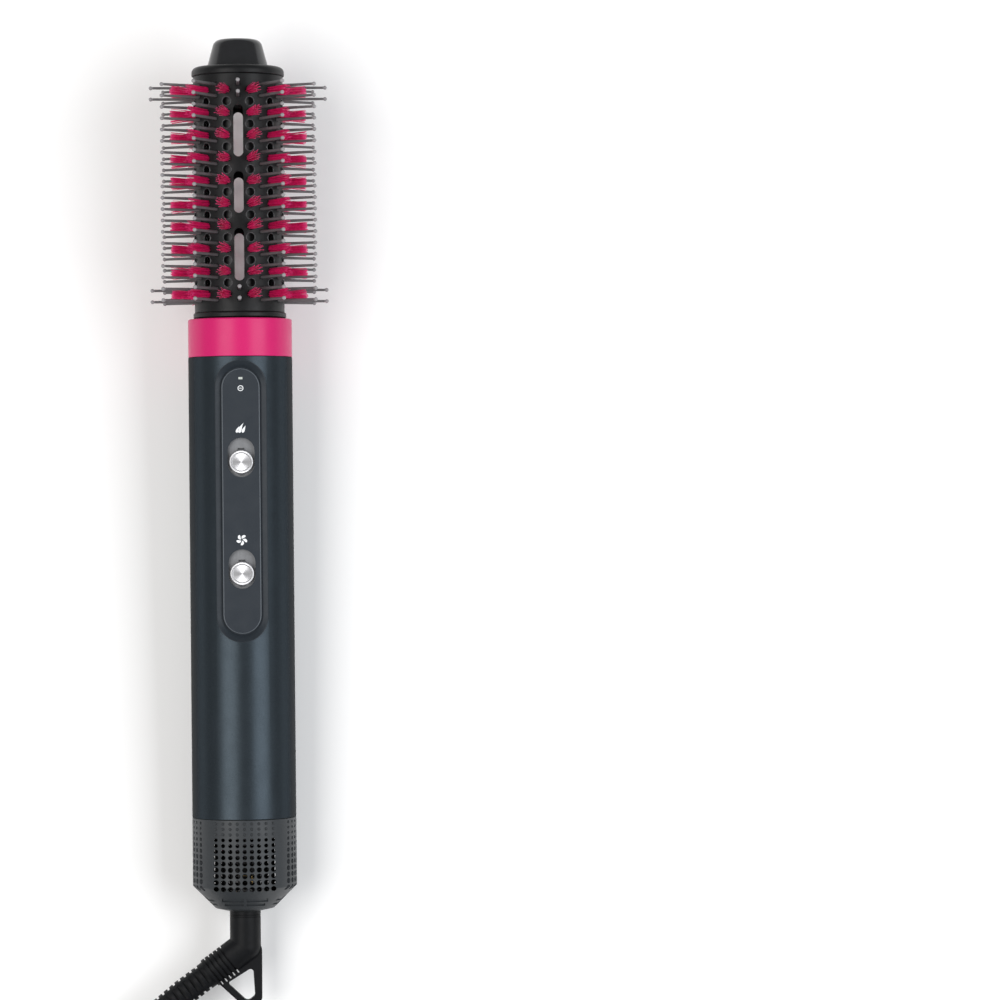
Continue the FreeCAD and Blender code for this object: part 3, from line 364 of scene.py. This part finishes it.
lens = Look("lens_clear", (0.50, 0.53, 0.50), 0.20)
lens.mottle(0.5, 0.10)
lens.uneven_gloss(1.0, 0.05)
lens.give("status_lens")


shutter_top = 18.1           # the sliders' plates end here, below their turned buttons
shutter_grey = (0.06, 0.062, 0.066)
groove_ripple = 18000        # radians of ripple in each metre from the middle
groove_depth = 0.004


def spun_metal(knob):
    """Turned metal, whose fine grooves run round the middle of the knob."""
    metal = Look(knob + "_metal", (0.74, 0.74, 0.76), 0.27, metallic=1.0)
    metal.mottle(0.5, 0.04)
    low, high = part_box(knob)
    middle = (Vector(low) + Vector(high)) / 2
    away = metal.node("VectorMath")
    away.operation = "SUBTRACT"
    metal.join(metal.node("TexCoord").outputs["Object"], away.inputs[0])
    away.inputs[1].default_value = middle
    along = metal.node("VectorMath")
    along.operation = "CROSS_PRODUCT"
    along.inputs[0].default_value = tool_front
    metal.join(away.outputs[0], along.inputs[1])
    groove_way = metal.node("VectorTransform")
    groove_way.vector_type = "VECTOR"
    groove_way.convert_from = "OBJECT"
    groove_way.convert_to = "WORLD"
    metal.join(along.outputs[0], groove_way.inputs[0])
    metal.join(groove_way.outputs[0], metal.shader.inputs["Tangent"])
    metal.shader.inputs["Anisotropic"].default_value = 0.85
    distance = metal.node("VectorMath")
    distance.operation = "LENGTH"
    metal.join(away.outputs[0], distance.inputs[0])
    turns = metal.math("MULTIPLY", distance.outputs["Value"], groove_ripple)
    metal.relief(metal.math("SINE", turns), groove_depth)
    on_button = metal.spread(metal.axis("Z"), 0, 1, shutter_top - 0.1, shutter_top)
    colour = metal.blend_colour(on_button, shutter_grey, metal.colour_out)
    metal.join(colour, metal.shader.inputs["Base Color"])
    metal.give(knob)


spun_metal("heat_slider")
spun_metal("fan_slider")


# --- Cord ----------------------------------------------------------------------------------------
cord_radius = 3.25
coil_centre = Vector((-20.0, -250.0, 0.0))
coil_low = (24.95, 31.55, 38.15, 44.75)    # the turns lying on the floor, from the middle out
coil_mid = (28.25, 34.85, 41.45)           # the turns lying between and above those
coil_top = 38.2                            # the one turn above the others
coil_step = 30                             # degrees between control points
low_height = cord_radius
mid_height = 9.3
top_height = 15.2

elbow_turn = math.radians(53.8)
elbow_corner = -14.8                       # station
corner_to_exit = 48.0
relief_way = way(-math.sin(elbow_turn), -math.cos(elbow_turn), 0)
relief_end = at(0, elbow_corner, 0) / MM + relief_way * corner_to_exit
lead_points = [relief_end, relief_end + relief_way * 16, Vector((-61.0, -225.5, 16.6)),
               Vector((-63.2, -243.5, 16.2))]
tail_points = [Vector((-35.0, -295.4, 3.25)), Vector((-19.5, -303.0, 4.2)),
               Vector((-2.0, -305.0, 8.0))]

# The line of the coil: degrees round its middle, distance from it and height. The top turn drops
# to the outside of the middle layer, whose turns step inwards. The line then drops to the floor,
# where the turns step outwards.
coil_line = [(199, coil_top + 1.2, top_height + 0.4), (235, coil_top, top_height),
             (450, coil_top, top_height), (505, coil_mid[2], mid_height)]
for turn in (1, 2):
    step = 360 * turn + 400
    between = (coil_mid[3 - turn] + coil_mid[2 - turn]) / 2
    coil_line += [(step, coil_mid[3 - turn], mid_height), (step + 45, between, mid_height + 0.5),
                  (step + 90, coil_mid[2 - turn], mid_height)]
coil_line += [(1345, coil_mid[0] - 0.5, mid_height + 0.2), (1402, coil_low[0], low_height)]
for turn in (0, 1, 2):
    step = 360 * turn + 1672
    coil_line += [(step, coil_low[turn], low_height), (step + 90, coil_low[turn + 1], low_height)]
coil_line += [(2752, coil_low[3], low_height)]


def coil_points(step):
    """Control points every step degrees along the coil's line."""
    points = []
    pull = 0.75 + 0.25 * math.cos(math.radians(step))    # how far a spline cuts inside
    count = round((coil_line[-1][0] - coil_line[0][0]) / step)
    for index in range(count + 1):
        angle = coil_line[0][0] + (coil_line[-1][0] - coil_line[0][0]) * index / count
        before, after = next((a, b) for a, b in zip(coil_line, coil_line[1:])
                             if a[0] <= angle <= b[0] + 1e-6)
        share = (angle - before[0]) / (after[0] - before[0])
        share = share * share * (3 - 2 * share)
        radius = before[1] + (after[1] - before[1]) * share
        height = before[2] + (after[2] - before[2]) * share
        turn = math.radians(angle)
        points.append(coil_centre + Vector((math.cos(turn) * radius / pull,
                                            math.sin(turn) * radius / pull, height)))
    return points


cord_points = [MM * point for point in lead_points + coil_points(coil_step) + tail_points]
cord_curve = bpy.data.curves.new("power_cord", "CURVE")
cord_curve.dimensions = "3D"
cord_curve.bevel_depth = cord_radius * MM
cord_curve.bevel_resolution = 5
cord_curve.resolution_u = 8
cord_curve.use_fill_caps = True
spline = cord_curve.splines.new("NURBS")
spline.points.add(len(cord_points) - 1)
for point, place in zip(spline.points, cord_points):
    point.co = (*place, 1)
spline.order_u = 3
spline.use_endpoint_u = True
cord_curve.materials.append(cord_rubber.material)
power_cord = bpy.data.objects.new("power_cord", cord_curve)
bpy.context.scene.collection.objects.link(power_cord)
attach(power_cord, "cord_side")
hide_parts("cord_lead", "cord_coil", "cord_tail")


# --- Coil tie --------------------------------------------------------------------------------------
tie_azimuth = math.radians(10)
tie_width = 7.0
tie_inside = 0.1             # from the cord to the strap's inner face
tie_outside = 0.8
tie_steps = 48
tie_centres = ([(radius, low_height) for radius in coil_low] + [(coil_top, top_height)]
               + [(radius, mid_height) for radius in coil_mid])


def coil_tie():
    """A strap round all the turns of the coil."""
    out = Vector((math.cos(tie_azimuth), math.sin(tie_azimuth), 0))
    along = Vector((-math.sin(tie_azimuth), math.cos(tie_azimuth), 0))
    points = []
    for clear, lowest in ((cord_radius + tie_inside, 0.4), (cord_radius + tie_outside, 0.05)):
        for step in range(tie_steps):
            angle = 2 * math.pi * step / tie_steps
            side = (math.cos(angle), math.sin(angle))
            radius, height = max(tie_centres, key=lambda c: c[0] * side[0] + c[1] * side[1])
            radius += clear * side[0]
            height = max(lowest, height + clear * side[1])
            for half_width in (-tie_width / 2, tie_width / 2):
                points.append(MM * (coil_centre + out * radius + along * half_width
                                    + Vector((0, 0, height))))
    faces = []
    outer = 2 * tie_steps
    for step in range(tie_steps):
        a, b = 2 * step, 2 * ((step + 1) % tie_steps)
        faces += [(a, b, b + 1, a + 1), (outer + a, outer + a + 1, outer + b + 1, outer + b),
                  (a, outer + a, outer + b, b), (a + 1, b + 1, outer + b + 1, outer + a + 1)]
    return mesh_piece("coil_tie", points, faces, "cord_side", tie_cloth.material)


tie_cloth = Look("tie_cloth", (0.014, 0.014, 0.015), 0.85)
tie_cloth.mottle(0.8, 0.25)
tie_cloth.uneven_gloss(1.0, 0.05)
tie_cloth.relief(tie_cloth.noise(0.4, 3.0), 0.12)
coil_tie()


# --- Bristles --------------------------------------------------------------------------------------
barrel_radius = 18.1
bristle_tip_radius = 28.5
strands_per_tuft = 30
strand_radius = 0.15
tuft_base_radius = 1.45
tuft_spread = 0.62           # how much wider the bundle is at its tips
tuft_lean = 0.25
golden_turn = 2.4            # from one strand's place in the bundle to the next
end_fray = 0.12
middle_fray = 0.06
tip_unevenness = 0.45

bristle = Look("bristle_pink", (0.74, 0.016, 0.145), 0.34)
bristle.mottle(0.9, 0.22)
bristle.uneven_gloss(1.0, 0.06)
bristle.outer_colour(26.4, 28.4, (0.88, 0.075, 0.28))


def strand(points, faces, start, middle, end, side, other):
    """One four-sided bristle, thinner at its tip."""
    first = len(points)
    for place, size in ((start, 1.0), (middle, 1.0), (end, 0.7)):
        for u, v in ((1, 0), (0, 1), (-1, 0), (0, -1)):
            points.append(at(*(place + (side * u + other * v) * strand_radius * size)))
    for ring in (0, 4):
        for corner in range(4):
            following = (corner + 1) % 4
            faces.append((first + ring + corner, first + ring + following,
                          first + ring + 4 + following, first + ring + 4 + corner))
    faces.append(tuple(first + 8 + corner for corner in range(4)))


def tuft(points, faces, azimuth, station, chance):
    """A bundle of bristles that leans and frays a little; places are in the tool's axes."""
    angle = math.radians(azimuth)
    out = Vector((math.sin(angle), 0, math.cos(angle)))
    side = Vector((math.cos(angle), 0, -math.sin(angle)))
    along = Vector((0, 1, 0))
    lean = Vector((chance.gauss(0, tuft_lean), chance.gauss(0, tuft_lean)))
    for count in range(strands_per_tuft):
        reach = tuft_base_radius * math.sqrt((count + 0.5) / strands_per_tuft)
        turn = golden_turn * count + chance.uniform(-0.2, 0.2)
        u = reach * math.cos(turn)
        v = reach * math.sin(turn)
        grown = 1 + tuft_spread * chance.uniform(0.6, 1.1)
        end_radius = bristle_tip_radius - abs(chance.gauss(0, tip_unevenness)) - 0.12 * reach
        start = out * (barrel_radius - 0.6) + along * (station + u) + side * v
        end_u = u * grown + lean.x + chance.gauss(0, end_fray)
        end_v = v * grown + lean.y + chance.gauss(0, end_fray)
        end = out * end_radius + along * (station + end_u) + side * end_v
        middle_u = u + (end_u - u) * 0.42 + chance.gauss(0, middle_fray)
        middle_v = v + (end_v - v) * 0.42 + chance.gauss(0, middle_fray)
        middle = (out * (barrel_radius + end_radius) / 2 + along * (station + middle_u)
                  + side * middle_v)
        strand(points, faces, start, middle, end, along, side)


tuft_rows = 10
first_tuft = 248.275
tuft_pitch = 9.1
tuft_sides = {"front_right": (15, 45, 75), "back_right": (105, 135, 165),
              "back_left": (195, 225, 255), "front_left": (285, 315, 345)}
for side_name, azimuths in tuft_sides.items():
    chance = random.Random("bristles " + side_name)
    points, faces = [], []
    for azimuth in azimuths:
        for row in range(tuft_rows):
            tuft(points, faces, azimuth, first_tuft + tuft_pitch * row, chance)
    bundle = mesh_piece("bristles_" + side_name, points, faces, "brush_head", bristle.material)
    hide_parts("tufts_" + side_name)


# --- Vent rims -------------------------------------------------------------------------------------
rim_profile = ((1.60, -0.15), (1.66, 0.16), (1.84, 0.22), (2.02, 0.12), (2.10, -0.15))
rim_steps = 24


def vent_rim(points, faces, azimuth, station):
    """The raised ring round one vent, bent to the barrel."""
    first = len(points)
    for step in range(rim_steps):
        turn = 2 * math.pi * step / rim_steps
        for reach, rise in rim_profile:
            angle = math.radians(azimuth) + reach * math.sin(turn) / barrel_radius
            radius = barrel_radius + rise
            points.append(at(radius * math.sin(angle), station + reach * math.cos(turn),
                             radius * math.cos(angle)))
    size = len(rim_profile)
    for step in range(rim_steps):
        a = first + size * step
        b = first + size * ((step + 1) % rim_steps)
        faces += [(a + k, a + k + 1, b + k + 1, b + k) for k in range(size - 1)]


points, faces = [], []
for azimuths in tuft_sides.values():
    for azimuth in azimuths:
        for row in range(tuft_rows - 1):
            vent_rim(points, faces, azimuth, first_tuft + tuft_pitch * (row + 0.5))
# The raised rings are coloured a lighter black than the barrel: a painted highlight on the rims.
rim_black_painted_highlight = Look("rim_black_painted_highlight", (0.030, 0.031, 0.034), 0.26)
rim_black_painted_highlight.mottle(1.0, 0.12)
rim_black_painted_highlight.uneven_gloss(2.0, 0.05)
vent_rims = mesh_piece("vent_rims", points, faces, "brush_head", rim_black_painted_highlight.material)
vent_rims.data.shade_smooth()


# --- Liner behind the vents --------------------------------------------------------------------------
liner_outer = 14.7
liner_inner = 14.2
liner_ends = (249.0, 330.0)
liner_steps = 12


def barrel_liner():
    """Four curved shields inside the barrel, which leave the long slots open."""
    points, faces = [], []
    for middle in (45, 135, 225, 315):
        first = len(points)
        for step in range(liner_steps + 1):
            angle = math.radians(middle - 34 + 68 * step / liner_steps)
            for radius, station in ((liner_outer, liner_ends[0]), (liner_outer, liner_ends[1]),
                                    (liner_inner, liner_ends[1]), (liner_inner, liner_ends[0])):
                points.append(at(radius * math.sin(angle), station, radius * math.cos(angle)))
        for step in range(liner_steps):
            a = first + 4 * step
            faces += [(a + k, a + 4 + k, a + 4 + (k + 1) % 4, a + (k + 1) % 4) for k in range(4)]
        last = first + 4 * liner_steps
        faces += [(first, first + 1, first + 2, first + 3), (last + 3, last + 2, last + 1, last)]
    return mesh_piece("barrel_liner", points, faces, "brush_head", dark.material)


barrel_liner()


# --- Marks and painted edge highlight on the control panel -------------------------------------------
panel_face = 19.2
panel_middle = 165.3
panel_length = 106.2
panel_width = 15.1
mark_lift = 0.02             # the prints and the painted edge highlight lie just above the plate
edge_out = 0.06              # how much wider and longer than the plate the bevel begins
edge_in = 0.62               # and how much narrower and shorter it ends
edge_drop = 0.33

mark_white = Look("mark_white", (0.80, 0.82, 0.84), 0.5)
mark_white.mottle(0.4, 0.06)
mark_white.uneven_gloss(1.0, 0.05)


def mark(name, shapes, station):
    """Flat printed shapes on the panel: each is a loop of (x, along) places."""
    points, faces = [], []
    for shape in shapes:
        first = len(points)
        points += [at(x, station + y, panel_face + mark_lift) for x, y in shape]
        faces.append(tuple(range(first, len(points))))
    mesh_piece(name, points, faces, "handle", mark_white.material)


def tongue(width, height, middle, low):
    """One tongue of the flame mark: round below, pointed above and leaning over."""
    loop = []
    for step in range(36):
        turn = 2 * math.pi * step / 36
        y = height * math.cos(turn)
        x = width * math.sin(turn) * math.sin(turn / 2) ** 1.6
        loop.append((x + middle + 0.42 * y + 0.10 * y * y, y + low))
    return loop


def blade_shape(turn):
    """One curved blade of the fan mark."""
    sides = ([], [])
    for step in range(9):
        reach = 0.4 + 1.8 * step / 8
        half = 0.44 * math.sin(math.pi * (0.12 + 0.83 * step / 8)) ** 0.7
        middle = turn + 0.30 * reach
        for side, sign in zip(sides, (1, -1)):
            angle = middle + sign * half
            side.append((reach * math.sin(angle), reach * math.cos(angle)))
    return sides[0] + sides[1][::-1]


def loops_to_quads(outer, inner):
    """A flat band between two loops of the same count, as four-cornered shapes."""
    count = len(outer)
    return [(outer[i], outer[(i + 1) % count], inner[(i + 1) % count], inner[i])
            for i in range(count)]


def circle(radius, count=28):
    """A loop of places round a circle."""
    return [(radius * math.sin(2 * math.pi * i / count), radius * math.cos(2 * math.pi * i / count))
            for i in range(count)]


mark("flame_mark", [tongue(0.85, 1.35, -1.25, -0.55), tongue(0.95, 2.05, -0.1, 0.1),
                    tongue(0.85, 1.45, 1.15, -0.45)], 194.6)
mark("fan_mark", [blade_shape(2 * math.pi * blade / 5) for blade in range(5)], 149.8)
mark("charge_mark", loops_to_quads(circle(1.15), circle(0.85))
     + [[(-0.6, -0.13), (0.6, -0.13), (0.6, 0.13), (-0.6, 0.13)]], 210.5)


def stadium_loop(width, length, count=16):
    """A slot-shaped loop round the panel's middle."""
    radius = width / 2
    reach = length / 2 - radius
    loop = []
    for end, start in ((1, -math.pi / 2), (-1, math.pi / 2)):
        for step in range(count + 1):
            turn = start + math.pi * step / count
            loop.append((radius * math.sin(turn), end * reach + radius * math.cos(turn)))
    return loop


def panel_edge_highlight():
    """The bevel round the face plate: its slope is real, and its colour, lighter than the plate, is a
    painted highlight.
    """
    low = stadium_loop(panel_width + edge_out, panel_length + edge_out)
    high = stadium_loop(panel_width - edge_in, panel_length - edge_in)
    count = len(low)
    points = [at(x, panel_middle + y, panel_face - edge_drop) for x, y in low]
    points += [at(x, panel_middle + y, panel_face + mark_lift) for x, y in high]
    faces = [(i, (i + 1) % count, count + (i + 1) % count, count + i) for i in range(count)]
    return mesh_piece("panel_edge_highlight", points, faces, "handle", edge_highlight.material)


# The bevel strip is coloured lighter than the panel: a painted highlight along the edge.
edge_highlight = Look("edge_highlight", (0.12, 0.135, 0.155), 0.30)
edge_highlight.mottle(0.6, 0.10)
edge_highlight.uneven_gloss(3.0, 0.05)
panel_edge_highlight()


# --- Floor and light -----------------------------------------------------------------------------
floor = bpy.data.meshes.new("floor")
half = 4.0
floor.from_pydata([(-half, -half, 0), (half, -half, 0), (half, half, 0), (-half, half, 0)], [],
                  [(0, 1, 2, 3)])
floor_piece = bpy.data.objects.new("floor", floor)
bpy.context.scene.collection.objects.link(floor_piece)
pale = bpy.data.materials.new("floor_paint")
pale.use_nodes = True
pale.node_tree.nodes["Principled BSDF"].inputs["Base Color"].default_value = (0.96, 0.96, 0.96, 1)
pale.node_tree.nodes["Principled BSDF"].inputs["Roughness"].default_value = 0.9
floor.materials.append(pale)


light_reach = 1.1
light_width = 0.66
light_length = 0.95


def soft_box(name, angle, power, colour):
    """A long soft light beside the camera, aimed at the middle of the tool."""
    data = bpy.data.lights.new(name, "AREA")
    data.shape = "RECTANGLE"
    data.size = light_width
    data.size_y = light_length
    data.energy = power
    data.color = colour
    light = bpy.data.objects.new(name, data)
    bpy.context.scene.collection.objects.link(light)
    out = way(math.sin(angle), 0, math.cos(angle))
    side = way(math.cos(angle), 0, -math.sin(angle))
    place = at(0, camera_station, 0) + out * light_reach
    light.matrix_world = Matrix.Translation(place) @ Matrix(
        (side, tool_along, out)).transposed().to_4x4()


soft_box("soft_left", math.radians(-31), 8.7, (1.0, 0.985, 0.965))
soft_box("soft_right", math.radians(40), 8.4, (0.955, 0.975, 1.0))

bpy.context.scene.view_settings.view_transform = "Standard"

world = bpy.data.worlds.new("studio")
bpy.context.scene.world = world
world.use_nodes = True
world.node_tree.nodes["Background"].inputs["Color"].default_value = (1.0, 1.0, 1.0, 1)
world.node_tree.nodes["Background"].inputs["Strength"].default_value = 0.34
